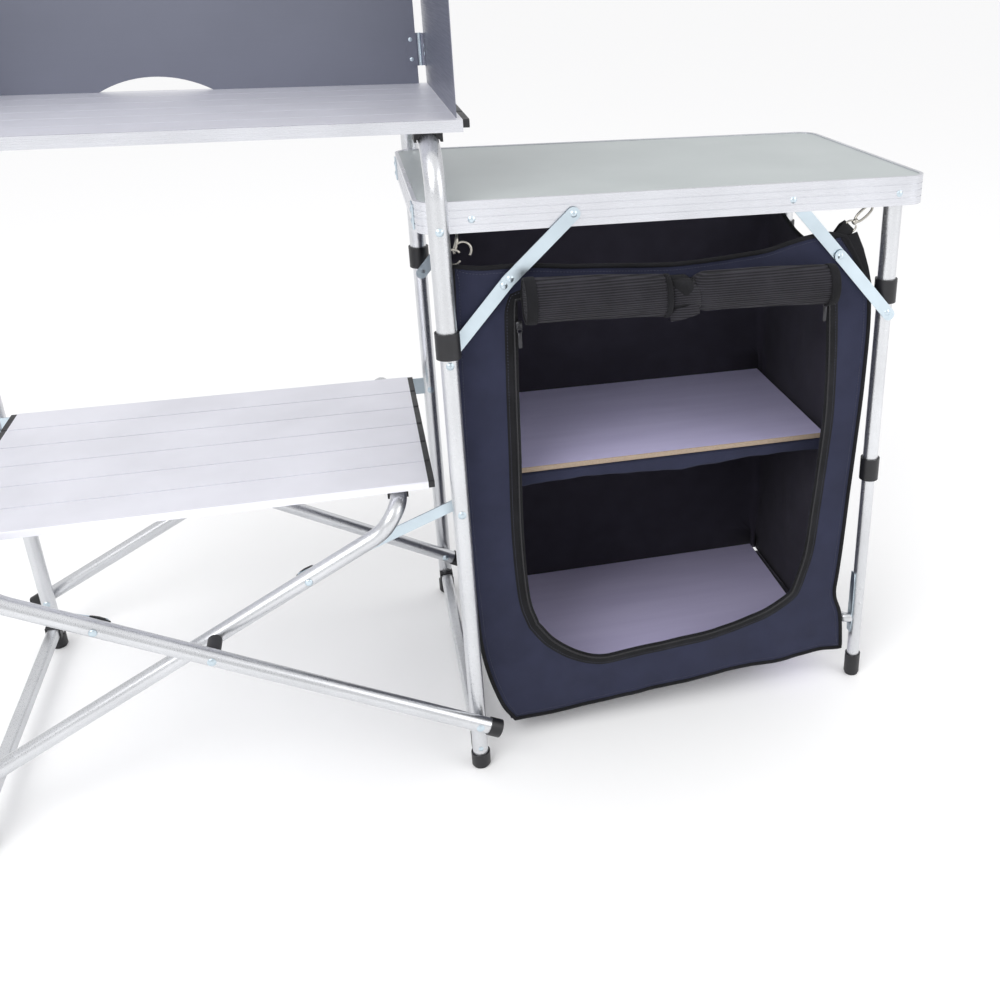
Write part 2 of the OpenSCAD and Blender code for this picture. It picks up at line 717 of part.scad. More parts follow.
module wind_shield_back() {
  color([0.45, 0.46, 0.5]) difference() {
    translate([stand_x - shield_half, shield_y, stove_h]) cube([2 * shield_half, shield_t, shield_h]);
    translate([stand_x - notch_shift, shield_y + 5, stove_h]) rotate([90, 0, 0]) linear_extrude(height = 10)
      intersection() {
        translate([0, notch_h - notch_r]) circle(r = notch_r);
        translate([-notch_r, -over]) square([2 * notch_r, 2 * notch_h]);
      }
  }
}
// The left wing stands a little further out, so that both fold flat, one in front of the other
module wing(side) {
  x = side > 0 ? wing_x : -wing_x - 3 * shield_t;
  translate([stand_x + x, shield_y + 3 - wing_d, shield_z0]) cube([shield_t, wing_d, shield_h - 1]);
}
module right_shield_wing() { color([0.45, 0.46, 0.5]) wing(1); }
module left_shield_wing() { color([0.45, 0.46, 0.5]) wing(-1); }
module shield_hinges() {
  color(zinc) for (side = [-1, 1], z = [24, shield_h - 69])
    translate([stand_x + side * (shield_half + 5.5), hinge_y, shield_z0 + z]) cylinder(r = 2, h = 45);
}

table_board();
table_rim();
rim_rivets();
middle_leg_arch();
middle_leg_connectors();
middle_lower_legs();
middle_feet();
middle_foot_bar();
middle_bar_saddles();
middle_leg_rivets();
cabinet_upper_legs();
cabinet_leg_connectors();
cabinet_lower_legs();
cabinet_leg_collars();
left_knee_links();
right_knee_links();
knee_rivets();
leg_brackets();
cabinet_foot_tubes();
cabinet_low_brace();
cabinet_feet();
larder_bag();
larder_shelf_board();
larder_floor_board();
larder_zip_track();
mesh_door_roll();
roll_strap();
left_hanging_ring();
right_hanging_loop();
right_snap_hook();
left_zip_puller();
right_zip_puller();
outer_cross_tubes();
outer_cross_caps();
outer_cross_pads();
cross_pivots();
crossing_spacers();
inner_cross_tubes();
inner_cross_caps();
inner_cross_pads();
left_leg_arch();
left_leg_connectors();
left_lower_legs();
left_feet();
left_foot_bar();
left_bar_saddles();
left_leg_rivets();
right_struts();
left_struts();
shelf_slats();
shelf_end_caps();
shelf_hooks();
stove_slats();
stove_rails();
stove_end_caps();
stove_saddles();
wind_shield_back();
right_shield_wing();
left_shield_wing();
shield_hinges();
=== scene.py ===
"""Looks for the folding camp kitchen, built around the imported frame."""
import json
import math

import bpy
import numpy as np
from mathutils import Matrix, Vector, noise


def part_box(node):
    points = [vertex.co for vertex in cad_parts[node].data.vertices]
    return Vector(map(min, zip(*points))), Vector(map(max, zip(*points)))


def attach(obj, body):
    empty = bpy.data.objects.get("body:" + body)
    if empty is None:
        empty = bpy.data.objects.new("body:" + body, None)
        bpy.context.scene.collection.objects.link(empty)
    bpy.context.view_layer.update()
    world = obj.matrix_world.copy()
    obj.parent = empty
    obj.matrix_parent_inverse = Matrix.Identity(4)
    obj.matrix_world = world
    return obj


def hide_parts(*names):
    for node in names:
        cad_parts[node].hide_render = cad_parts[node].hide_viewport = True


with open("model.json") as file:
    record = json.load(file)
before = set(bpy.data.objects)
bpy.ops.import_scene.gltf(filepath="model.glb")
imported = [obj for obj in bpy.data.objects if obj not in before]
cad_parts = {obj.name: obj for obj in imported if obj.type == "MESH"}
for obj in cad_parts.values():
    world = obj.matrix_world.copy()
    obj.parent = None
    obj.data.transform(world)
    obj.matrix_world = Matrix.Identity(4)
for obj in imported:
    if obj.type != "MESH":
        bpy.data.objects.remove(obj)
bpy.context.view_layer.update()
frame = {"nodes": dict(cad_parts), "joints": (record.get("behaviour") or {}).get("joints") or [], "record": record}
scene = bpy.context.scene
scene.view_settings.view_transform = "Standard"
MM = 0.001


# ------------------------------------------------------------------ camera, light, floor
def make_camera():
    data = bpy.data.cameras.new("camera")
    cam = bpy.data.objects.new("camera", data)
    scene.collection.objects.link(cam)
    pitch, yaw = 0.410, 0.271
    cam.location = (-0.0764, -1.4907, 1.0708)
    cam.rotation_euler = (math.pi / 2 - pitch, 0, -yaw)
    data.sensor_width = 36
    data.lens = 38.884
    data.shift_x, data.shift_y = -0.1486, -0.078
    data.clip_end = 300
    scene.camera = cam


def make_light(name, place, target, size, power):
    data = bpy.data.lights.new(name, "AREA")
    data.shape, data.size, data.energy = "SQUARE", size, power
    lamp = bpy.data.objects.new(name, data)
    scene.collection.objects.link(lamp)
    lamp.location = place
    lamp.rotation_euler = (Vector(target) - Vector(place)).to_track_quat("-Z", "Y").to_euler()


def make_world():
    world = bpy.data.worlds.new("studio")
    scene.world = world
    world.use_nodes = True
    nt = world.node_tree
    coord = nt.nodes.new("ShaderNodeTexCoord")
    split = nt.nodes.new("ShaderNodeSeparateXYZ")
    shift = nt.nodes.new("ShaderNodeMath")
    shift.operation = "MULTIPLY_ADD"
    shift.inputs[1].default_value = 0.5
    shift.inputs[2].default_value = 0.5
    ramp = nt.nodes.new("ShaderNodeValToRGB")
    stops = ramp.color_ramp.elements
    stops[0].position, stops[0].color = 0.0, (0.95, 0.95, 0.95, 1)
    stops[1].position, stops[1].color = 1.0, (1.0, 1.0, 1.0, 1)
    for place, level in ((0.49, 0.95), (0.54, 0.66), (0.68, 0.76), (0.82, 1.0)):
        stop = stops.new(place)
        stop.color = (level, level, level * 1.01, 1)
    nt.links.new(coord.outputs["Generated"], split.inputs[0])
    nt.links.new(split.outputs["Z"], shift.inputs[0])
    nt.links.new(shift.outputs[0], ramp.inputs[0])
    nt.links.new(ramp.outputs[0], nt.nodes["Background"].inputs["Color"])
    nt.nodes["Background"].inputs["Strength"].default_value = 1.0


def whiten_backdrop():
    """The camera sees plain white behind the part, whatever the world lights it with."""
    tree = scene.world.node_tree
    output = next(node for node in tree.nodes if node.type == "OUTPUT_WORLD")
    lit = output.inputs["Surface"].links[0].from_socket
    plain = tree.nodes.new("ShaderNodeBackground")
    plain.inputs["Color"].default_value = (1, 1, 1, 1)
    path = tree.nodes.new("ShaderNodeLightPath")
    mix = tree.nodes.new("ShaderNodeMixShader")
    tree.links.new(path.outputs["Is Camera Ray"], mix.inputs[0])
    tree.links.new(lit, mix.inputs[1])
    tree.links.new(plain.outputs["Background"], mix.inputs[2])
    tree.links.new(mix.outputs["Shader"], output.inputs["Surface"])


def make_floor():
    half = 60
    mesh = bpy.data.meshes.new("floor")
    corners = [(-half, -half), (half, -half), (half, half), (-half, half)]
    mesh.from_pydata([(x, y, -0.0004) for x, y in corners], [], [(0, 1, 2, 3)])
    floor = bpy.data.objects.new("floor", mesh)
    scene.collection.objects.link(floor)
    mat = bpy.data.materials.new("floor_white")
    mat.use_nodes = True
    shader = mat.node_tree.nodes["Principled BSDF"]
    shader.inputs["Base Color"].default_value = (0.93, 0.93, 0.93, 1)
    shader.inputs["Roughness"].default_value = 0.9
    shader.inputs["Specular IOR Level"].default_value = 0.1
    shader.inputs["Emission Color"].default_value = (1, 1, 1, 1)
    shader.inputs["Emission Strength"].default_value = 0.08
    mesh.materials.append(mat)


# ------------------------------------------------------------------ materials
class Look:
    """A Principled material whose nodes work in the row frame, in metres."""

    def __init__(self, name, rough, metallic=0.0, **fixed):
        self.mat = bpy.data.materials.new(name)
        self.mat.use_nodes = True
        self.nt = self.mat.node_tree
        self.bsdf = self.nt.nodes["Principled BSDF"]
        self.coord = self.nt.nodes.new("ShaderNodeTexCoord").outputs["Object"]
        self.bsdf.inputs["Metallic"].default_value = metallic
        self.bsdf.inputs["Roughness"].default_value = rough
        for key, value in fixed.items():
            self.bsdf.inputs[key.replace("_", " ")].default_value = value
        self.heights = []

    def wire(self, a, b):
        self.nt.links.new(a, b)

    def noise(self, scale, detail=2.0, stretch=(1, 1, 1)):
        mapping = self.nt.nodes.new("ShaderNodeMapping")
        mapping.inputs["Scale"].default_value = stretch
        tex = self.nt.nodes.new("ShaderNodeTexNoise")
        tex.inputs["Scale"].default_value = scale
        tex.inputs["Detail"].default_value = detail
        self.wire(self.coord, mapping.inputs["Vector"])
        self.wire(mapping.outputs[0], tex.inputs["Vector"])
        return tex.outputs["Fac"]

    def math(self, kind, a, b=None):
        node = self.nt.nodes.new("ShaderNodeMath")
        node.operation = kind
        for value, socket in zip((a, b), node.inputs):
            if value is None:
                continue
            if isinstance(value, (int, float)):
                socket.default_value = value
            else:
                self.wire(value, socket)
        return node.outputs[0]

    def axes(self):
        split = self.nt.nodes.new("ShaderNodeSeparateXYZ")
        self.wire(self.coord, split.inputs[0])
        return split.outputs

    def remap(self, fac, low, high, start=0.3, end=0.7):
        node = self.nt.nodes.new("ShaderNodeMapRange")
        for key, value in (("From Min", start), ("From Max", end), ("To Min", low), ("To Max", high)):
            node.inputs[key].default_value = value
        self.wire(fac, node.inputs["Value"])
        return node.outputs[0]

    def blend(self, fac, dark, light, start=0.3, end=0.7):
        ramp = self.nt.nodes.new("ShaderNodeValToRGB")
        stops = ramp.color_ramp.elements
        stops[0].position, stops[0].color = start, (*dark, 1)
        stops[1].position, stops[1].color = end, (*light, 1)
        self.wire(fac, ramp.inputs[0])
        return ramp.outputs[0]

    def colour(self, output):
        self.wire(output, self.bsdf.inputs["Base Color"])
        return self

    def rough(self, output):
        self.wire(output, self.bsdf.inputs["Roughness"])
        return self

    def bump(self, height, strength, distance):
        node = self.nt.nodes.new("ShaderNodeBump")
        node.inputs["Strength"].default_value = strength
        node.inputs["Distance"].default_value = distance
        self.wire(height, node.inputs["Height"])
        if self.heights:
            self.wire(self.heights[-1], node.inputs["Normal"])
        self.heights.append(node.outputs[0])
        self.wire(node.outputs[0], self.bsdf.inputs["Normal"])
        return self


def shade(colour, k):
    return tuple(min(1.0, c * k) for c in colour)


def metal(name, colour, rough, stretch=(1, 1, 1), grain=900, spread=0.07, metallic=1.0):
    look = Look(name, rough, metallic=metallic)
    fine = look.noise(grain, 2, stretch)
    broad = look.noise(9, 3)
    look.colour(look.blend(broad, shade(colour, 1 - spread), shade(colour, 1 + spread)))
    look.rough(look.remap(fine, rough - 0.06, rough + 0.08))
    look.bump(fine, 0.10, 0.0002)
    return look.mat


def moulded(name, colour, rough):
    look = Look(name, rough, Specular_IOR_Level=0.5)
    fine = look.noise(1600, 2)
    broad = look.noise(40, 3)
    look.colour(look.blend(broad, shade(colour, 0.75), shade(colour, 1.5)))
    look.rough(look.remap(broad, rough - 0.08, rough + 0.1))
    look.bump(fine, 0.25, 0.0002)
    return look.mat


def woven(name, colour, pitch, rough=0.85, depth=0.5, spread=0.35, sheen=0.25, lines=False):
    look = Look(name, rough, Sheen_Weight=sheen, Sheen_Roughness=0.5, Specular_IOR_Level=0.25)
    x, y, z = look.axes()[0:3]
    turn = 2 * math.pi / pitch
    across = look.math("SINE", look.math("MULTIPLY", look.math("ADD", x, y), turn))
    up = look.math("SINE", look.math("MULTIPLY", z, turn))
    weave = up if lines else look.math("MULTIPLY", across, up)
    mottle = look.noise(28, 4)
    thread = look.noise(900, 2)
    mixed = look.math("ADD", look.math("MULTIPLY", weave, 0.30 if lines else 0.12),
        look.math("MULTIPLY", mottle, 1.0))
    mixed = look.math("ADD", mixed, look.math("MULTIPLY", look.math("SUBTRACT", thread, 0.5), 0.5))
    look.colour(look.blend(mixed, shade(colour, 1 - spread), shade(colour, 1 + spread)))
    look.rough(look.remap(thread, rough - 0.08, rough + 0.1))
    look.bump(weave, depth, pitch * 0.25)
    look.bump(mottle, 0.12, 0.003)
    return look.mat


def make_looks():
    looks = {
        "tube": metal("tube_metal", (0.66, 0.67, 0.69), 0.30, metallic=0.92),
        "trim": metal("trim_metal", (0.68, 0.69, 0.73), 0.28, (3, 3, 300), 6, metallic=0.8),
        "slat": metal("slat_metal", (0.84, 0.84, 0.90), 0.36, (3, 300, 300), 6, spread=0.04, metallic=0.45),
        "zinc": metal("zinc_metal", (0.58, 0.67, 0.73), 0.34, grain=260, spread=0.12, metallic=0.9),
        "shield": metal("shield_metal", (0.175, 0.185, 0.235), 0.34, (1, 1, 60), 12, spread=0.03,
            metallic=0.45),
        "steel": metal("hook_metal", (0.42, 0.40, 0.36), 0.28, spread=0.15),
        "dark_steel": metal("puller_metal", (0.05, 0.05, 0.055), 0.36, spread=0.2, metallic=0.7),
        "black_plastic": moulded("black_moulding", (0.010, 0.010, 0.012), 0.42),
        "navy_fabric": woven("navy_cloth", (0.022, 0.025, 0.053), 0.0012, sheen=0.06, spread=0.12),
        "lining": woven("lining_cloth", (0.032, 0.029, 0.043), 0.0012, sheen=0.03, spread=0.12),
        "black_webbing": woven("black_web", (0.008, 0.008, 0.010), 0.0016, spread=0.5, depth=0.7,
            sheen=0.04),
        "mesh": woven("mesh_cloth", (0.020, 0.019, 0.024), 0.0030, spread=0.5, depth=0.7, sheen=0.05,
            lines=True),
        "binding": woven("binding_cloth", (0.007, 0.007, 0.009), 0.0014, spread=0.4, sheen=0.03),
    }
    look = Look("laminate_speckle", 0.36, Coat_Weight=0.15, Coat_Roughness=0.3)
    speck = look.noise(1500, 3)
    cloud = look.noise(7, 3)
    both = look.math("ADD", look.math("MULTIPLY", speck, 0.7), look.math("MULTIPLY", cloud, 0.3))
    look.colour(look.blend(both, (0.38, 0.42, 0.42), (0.48, 0.52, 0.52), 0.38, 0.62))
    look.rough(look.remap(speck, 0.30, 0.44))
    look.bump(speck, 0.18, 0.0003)
    looks["laminate"] = look.mat
    look = Look("board_laminate", 0.45)
    grain = look.noise(5, 4, (1, 9, 1))
    look.colour(look.blend(grain, (0.58, 0.54, 0.80), (0.64, 0.60, 0.86)))
    look.rough(look.remap(grain, 0.38, 0.5))
    look.bump(look.noise(700, 2), 0.08, 0.0002)
    looks["board"] = look.mat
    look = Look("board_edge", 0.8)
    fibre = look.noise(600, 4, (1, 1, 3))
    look.colour(look.blend(fibre, (0.28, 0.21, 0.15), (0.44, 0.35, 0.27)))
    look.bump(fibre, 0.5, 0.0006)
    looks["edge"] = look.mat
    look = Look("thread", 0.7)
    twist = look.noise(1200, 2)
    look.colour(look.blend(twist, (0.02, 0.022, 0.04), (0.07, 0.075, 0.12)))
    look.bump(twist, 0.3, 0.0002)
    looks["thread"] = look.mat
    return looks


make_camera()
make_world()
whiten_backdrop()
make_light("key", (-1.9, -2.4, 2.8), (0.0, 0.0, 0.5), 2.2, 60)
make_light("fill", (2.6, -1.8, 1.7), (0.2, 0.0, 0.4), 1.8, 22)
make_floor()
LOOKS = make_looks()
slot_of = {row["node"]: row["material_slot"] for row in frame["record"]["subparts"]}
for node_name, node_object in frame["nodes"].items():
    if not node_object.material_slots:
        node_object.data.materials.append(None)
    for material_slot in node_object.material_slots:
        material_slot.material = LOOKS[slot_of[node_name]]


# ------------------------------------------------------------------ mesh helpers (millimetres in)
def piece(name, verts, faces, look, body, slot, smooth=True, extra=(), picks=None):
    mesh = bpy.data.meshes.new(name)
    mesh.from_pydata([tuple(float(c) * MM for c in v) for v in verts], [], faces)
    for key in (look, *extra):
        mesh.materials.append(LOOKS[key])
    if picks is not None:
        mesh.polygons.foreach_set("material_index", picks)
    mesh.polygons.foreach_set("use_smooth", [smooth] * len(faces))
    mesh.validate()
    mesh.update()
    obj = bpy.data.objects.new(name, mesh)
    scene.collection.objects.link(obj)
    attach(obj, body)
    return obj


def spline(points, count):
    """count points at even steps along a smooth curve through the given points."""
    p = np.array(points, float)
    ext = np.vstack([2 * p[0] - p[1], p, 2 * p[-1] - p[-2]])
    t = np.linspace(0, 1, 24, endpoint=False)[:, None]
    rows = []
    for i in range(len(p) - 1):
        a, b, c, d = ext[i : i + 4]
        rows.append(0.5 * (2 * b + (c - a) * t + (2 * a - 5 * b + 4 * c - d) * t**2
                           + (3 * b - a - 3 * c + d) * t**3))
    rows.append(p[-1:])
    return even(np.vstack(rows), count)


def even(points, count):
    s = np.r_[0, np.cumsum(np.linalg.norm(np.diff(points, axis=0), axis=1))]
    q = np.linspace(0, s[-1], count)
    return np.stack([np.interp(q, s, points[:, k]) for k in range(points.shape[1])], 1)


def grid_faces(rows, cols, wrap_rows=False, wrap_cols=False, start=0):
    faces = []
    for i in range(rows if wrap_rows else rows - 1):
        for j in range(cols if wrap_cols else cols - 1):
            a, b = i * cols + j, i * cols + (j + 1) % cols
            c, d = ((i + 1) % rows) * cols + (j + 1) % cols, ((i + 1) % rows) * cols + j
            faces.append((start + a, start + b, start + c, start + d))
    return faces


def thicken(obj, mm, lined=False):
    """Gives cloth its thickness; a lined sheet's inner side gets its second material."""
    mod = obj.modifiers.new("thickness", "SOLIDIFY")
    mod.thickness, mod.offset = mm * MM, 0
    mod.material_offset = 1 if lined else 0
    return obj


def frames(path, closed):
    """Two unit vectors across the path at each point, turning as little as possible."""
    if closed:
        tangent = np.roll(path, -1, 0) - np.roll(path, 1, 0)
    else:
        tangent = np.gradient(path, axis=0)
    tangent /= np.linalg.norm(tangent, axis=1)[:, None]
    up = np.array([0.0, 0, 1]) if abs(tangent[0, 2]) < 0.9 else np.array([0.0, 1, 0])
    side = np.cross(tangent[0], up)
    out = []
    for t in tangent:
        side = side - t * (side @ t)
        side /= np.linalg.norm(side)
        out.append((side, np.cross(t, side)))
    return out


def tube_mesh(path, radius, sides=10, closed=False, flat=1.0):
    path = np.array(path, float)
    radius = np.broadcast_to(radius, (len(path),))
    verts = []
    for centre, (a, b), r in zip(path, frames(path, closed), radius):
        for k in range(sides):
            w = 2 * math.pi * k / sides
            verts.append(centre + a * (r * math.cos(w)) + b * (r * flat * math.sin(w)))
    faces = grid_faces(len(path), sides, wrap_rows=closed, wrap_cols=True)
    if not closed:
        faces.append(tuple(range(sides))[::-1])
        last = (len(path) - 1) * sides
        faces.append(tuple(range(last, last + sides)))
    return verts, faces


def tube(name, path, radius, look, body, slot, **kw):
    verts, faces = tube_mesh(path, radius, **kw)
    return piece(name, verts, faces, look, body, slot)


def ribbon(name, path, across, width, thick, look, body, slot):
    """A flat strap along path; across is the direction of its width."""
    path = np.array(path, float)
    across = np.array(across, float) / np.linalg.norm(across)
    width = np.broadcast_to(width, (len(path),))
    tangent = np.gradient(path, axis=0)
    verts = []
    for p, t, w in zip(path, tangent, width):
        n = np.cross(t / np.linalg.norm(t), across)
        n /= np.linalg.norm(n)
        for u, v in ((-0.5, -0.35), (-0.46, -0.5), (0.46, -0.5), (0.5, -0.35), (0.5, 0.35), (0.46, 0.5),
            (-0.46, 0.5), (-0.5, 0.35)):
            verts.append(p + across * (u * w) + n * (v * thick))
    faces = grid_faces(len(path), 8, wrap_cols=True)
    faces.append(tuple(range(8))[::-1])
    faces.append(tuple(range(len(verts) - 8, len(verts))))
    return piece(name, verts, faces, look, body, slot)


def rounded_box(low, high, r, start=0):
    """Box with chamfered edges, as verts and faces."""
    low, high = np.array(low, float), np.array(high, float)
    mid, half = (low + high) / 2, (high - low) / 2
    r = min(r, *(half * 0.9))
    rings = []
    for z, inset in ((-half[2], r), (-half[2] + r, 0), (half[2] - r, 0), (half[2], r)):
        a, b = half[0] - inset, half[1] - inset
        c = r
        ring = [(-a + c, -b), (a - c, -b), (a, -b + c), (a, b - c), (a - c, b), (-a + c, b), (-a, b - c),
            (-a, -b + c)]
        rings.append([mid + np.array([x, y, z]) for x, y in ring])
    verts = [v for ring in rings for v in ring]
    faces = grid_faces(4, 8, wrap_cols=True, start=start)
    faces.append(tuple(range(start, start + 8))[::-1])
    faces.append(tuple(range(start + 24, start + 32)))
    return verts, faces


def merge(parts):
    verts, faces = [], []
    for v, f in parts:
        n = len(verts)
        verts += list(v)
        faces += [tuple(i + n for i in face) for face in f]
    return verts, faces


def arc(centre, radius, start, end, count, plane="xz"):
    out = []
    for k in range(count):
        w = math.radians(start + (end - start) * k / (count - 1))
        u, v = radius * math.cos(w), radius * math.sin(w)
        step = {"xz": (u, 0, v), "yz": (0, u, v), "xy": (u, v, 0)}[plane]
        out.append(np.array(centre, float) + step)
    return out


# ------------------------------------------------------------------ larder
bag_low, bag_high = (c / MM for c in (Vector(v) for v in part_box("larder_bag")))
FRONT = bag_low.y
BACK = bag_high.y
# The front panel's outline, as points in the XZ plane
TOP = [(36, 722), (70, 717), (120, 716), (170, 712), (221, 709), (299, 704), (353, 705), (435, 712),
    (477, 721), (508, 727), (533, 729), (556, 724)]
RIGHT = [(556, 724), (573, 695), (587, 668), (597, 633), (599, 560), (595, 430), (584, 222), (580, 165),
    (591, 127), (597, 64)]
BOTTOM = [(597, 64), (560, 66), (500, 60), (420, 58), (330, 50), (250, 45), (160, 38), (79, 34)]
LEFT = [(79, 34), (60, 69), (40, 150), (33, 260), (30, 430), (32, 600), (36, 722)]
# The door opening, from its top left corner, clockwise seen from the front
DOOR_TOP = [(113, 671), (250, 668), (400, 668), (531, 664)]
DOOR_RIGHT = [(531, 664), (536, 600), (540, 500), (539, 430), (531, 320), (524, 247), (510, 194)]
DOOR_BOTTOM = [(510, 194), (500, 176), (454, 152), (366, 134), (272, 126), (200, 124), (148, 158),
    (121, 194)]
DOOR_LEFT = [(121, 194), (110, 240), (106, 340), (108, 460), (110, 570), (113, 671)]


def front_y(x, z):
    """Where the front cloth hangs, with its soft folds."""
    low = max(0.0, min(1.0, (z - 40) / 690))
    folds = 3.0 * noise.noise(Vector((x * 0.011, 3.1, z * 0.0045)))
    folds += 1.6 * noise.noise(Vector((x * 0.03, 7.7, z * 0.012)))
    swell = 5.0 * math.sin(math.pi * low) * (0.4 + 0.6 * math.sin(math.pi * max(0, min(1, (x - 30) / 570))))
    return FRONT - 1 - 3 * (1 - low) ** 2 + folds + swell * 0.5


def on_front(points, lift=0.0):
    return np.array([(x, front_y(x, z) - lift, z) for x, z in points])


def loop_2d(sides, counts):
    return np.vstack([spline(side, n + 1)[:-1] for side, n in zip(sides, counts)])


COUNTS = (90, 110, 90, 110)
outer = loop_2d((TOP, RIGHT, BOTTOM, LEFT), COUNTS)
inner = loop_2d((DOOR_TOP, DOOR_RIGHT, DOOR_BOTTOM, DOOR_LEFT), COUNTS)


def offset_loop(loop, amount):
    """The closed loop moved outward by amount."""
    tangent = np.roll(loop, -1, 0) - np.roll(loop, 1, 0)
    tangent /= np.linalg.norm(tangent, axis=1)[:, None]
    for _ in range(6):
        tangent = (np.roll(tangent, 1, 0) + 2 * tangent + np.roll(tangent, -1, 0)) / 4
    normal = np.stack([-tangent[:, 1], tangent[:, 0]], 1)
    return loop + normal * amount


def front_panel():
    steps = 18
    rows = [inner + (outer - inner) * (k / steps) for k in range(steps + 1)]
    verts = [p for row in rows for p in on_front(row)]
    faces = grid_faces(steps + 1, len(outer), wrap_cols=True)
    obj = piece("larder_front", verts, faces, "navy_fabric", "frame", "navy_fabric", extra=("lining",))
    return thicken(obj, 1.0, lined=True)


def edge_at(points, z):
    """X of the front panel's side edge at height z."""
    p = np.array(sorted(points, key=lambda q: q[1]), float)
    return float(np.interp(z, p[:, 1], p[:, 0]))


def wall_plan(z):
    """Plan line of the left, back and right walls at height z, from the front left edge."""
    xl, xr = edge_at(LEFT, z), edge_at(RIGHT, z)
    radius = 16
    bl, br = 44 - 3, 586
    path = [(xl, FRONT), (xl * 0.5 + bl * 0.5 + 5, (FRONT + BACK) / 2), (bl, BACK - radius)]
    path += [(bl + radius * (1 - math.cos(a)),
        BACK - radius + radius * math.sin(a)) for a in np.linspace(0.2, math.pi / 2, 5)]
    path += [(0.5 * (bl + br), BACK - 5)]
    path += [(br - radius + radius * math.sin(a),
        BACK - radius + radius * math.cos(a)) for a in np.linspace(0, math.pi / 2 - 0.2, 5)]
    path += [(br, BACK - radius), (xr * 0.5 + br * 0.5 - 6, (FRONT + BACK) / 2), (xr, FRONT)]
    return path


# How far above and below a board its edge holds the cloth out, and how far off the edge the cloth stays
BOARD_REACH, BOARD_SLACK = 60, 2


def shell():
    """Left, back and right walls as one sheet whose top edge sags between the corners."""
    cols, rows = 170, 56
    top = np.array([(0, 722), (0.14, 692), (0.27, 712), (0.3, 716), (0.5, 700), (0.7, 716), (0.73, 708),
        (0.86, 676), (1, 724)])
    bottom = np.array([(0, 36), (0.29, 50), (0.71, 52), (1, 64)])
    ts = np.linspace(0, 1, cols)
    z_top = spline(top, 300)
    z_top = np.interp(ts, z_top[:, 0], z_top[:, 1])
    z_bot = np.interp(ts, bottom[:, 0], bottom[:, 1])
    verts = []
    for i in range(rows):
        v = i / (rows - 1)
        for j, t in enumerate(ts):
            z = z_bot[j] + (z_top[j] - z_bot[j]) * v
            verts.append((t, z, v))
    plans = {}
    out = []
    boards = [[np.array(c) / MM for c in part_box(node)] for node in ("larder_shelf_board",
        "larder_floor_board")]
    for t, z, v in verts:
        key = round(z)
        if key not in plans:
            plans[key] = even(np.array(wall_plan(key)), 500)
        x, y = plans[key][int(round(t * 499))]
        near = min(t, 1 - t) / 0.03
        wave = min(1.0, near) * math.sin(math.pi * min(1, max(0, v)) * 0.9 + 0.1)
        n = noise.noise(Vector((x * 0.010, y * 0.010, z * 0.005))) * 7 + noise.noise(Vector((x * 0.03,
            y * 0.03, z * 0.014))) * 2.5
        cx, cy = 314 - x, -20 - y
        d = math.hypot(cx, cy) + 1e-6
        k = wave * (4 + n)
        x, y = x + cx / d * k, y + cy / d * k
        for low, high in boards:
            off_middle = (z - (low[2] + high[2]) / 2) / BOARD_REACH
            near_board = min(1.0, 1.25 * math.exp(-off_middle ** 2))
            if 0.3 < t < 0.735:
                y += near_board * max(0.0, high[1] + BOARD_SLACK - y)
            if t > 0.66:
                x += near_board * max(0.0, high[0] + BOARD_SLACK - x)
        out.append((x, y, z))
    faces = [face[::-1] for face in grid_faces(rows, cols)]
    obj = piece("larder_walls", out, faces, "navy_fabric", "frame", "navy_fabric", extra=("lining",))
    return thicken(obj, 1.0,
        lined=True), [out[(rows - 1) * cols + j] for j in range(cols)], [out[j] for j in range(cols)]


def bottom_sheet(edge):
    """Cloth under the floor board, from the front seam to the walls' lower edge."""
    n, depth = 60, 30
    front = spline(BOTTOM[::-1], n)
    low = np.array(edge, float)
    rows = []
    for k in range(depth):
        v = k / (depth - 1)
        y = FRONT + (BACK - 4 - FRONT) * v
        left = low[: len(low) // 2]
        right = low[len(low) // 2 :]
        xl = np.interp(y, left[:60, 1], left[:60, 0]) if v < 0.97 else left[60, 0]
        xr = np.interp(y, right[::-1][:60, 1], right[::-1][:60, 0]) if v < 0.97 else right[-61, 0]
        for j in range(n):
            u = j / (n - 1)
            x = xl - 5 + (xr - xl + 10) * u
            z = front[j][1] * (1 - v) + 50 * v - 2.5 * math.sin(math.pi * u) * math.sin(math.pi * v)
            rows.append((x, y, z + 1.5 * noise.noise(Vector((x * 0.02, y * 0.02, 1.0)))))
    faces = [face[::-1] for face in grid_faces(depth, n)]
    obj = piece("larder_bottom", rows, faces, "navy_fabric", "frame", "navy_fabric", extra=("lining",))
    return thicken(obj, 1.0, lined=True)


def zip_tape():
    """Black tape round the opening with the zip's coil on it."""
    profile = ((0.0, 0.5), (1.5, 1.6), (7.0, 1.8), (8.0, 1.2), (15.0, 1.1), (16.5, 0.5))
    rows = [on_front(offset_loop(inner, d), lift) for d, lift in profile]
    verts = [p for row in rows for p in row]
    tape = thicken(piece("zip_tape", verts, grid_faces(len(profile), len(inner), wrap_cols=True),
        "black_webbing", "frame", "black_webbing"), 0.8)
    coil_path = even(np.vstack([on_front(offset_loop(inner, 4.2), 2.4),
        on_front(offset_loop(inner, 4.2), 2.4)[:1]]), 900)[:-1]
    ripple = 1.35 + 0.28 * np.sin(np.arange(len(coil_path)) * 2.1)
    coil = tube("zip_coil", coil_path, ripple, "black_plastic", "frame", "black_plastic", closed=True,
        sides=6)
    return tape, coil


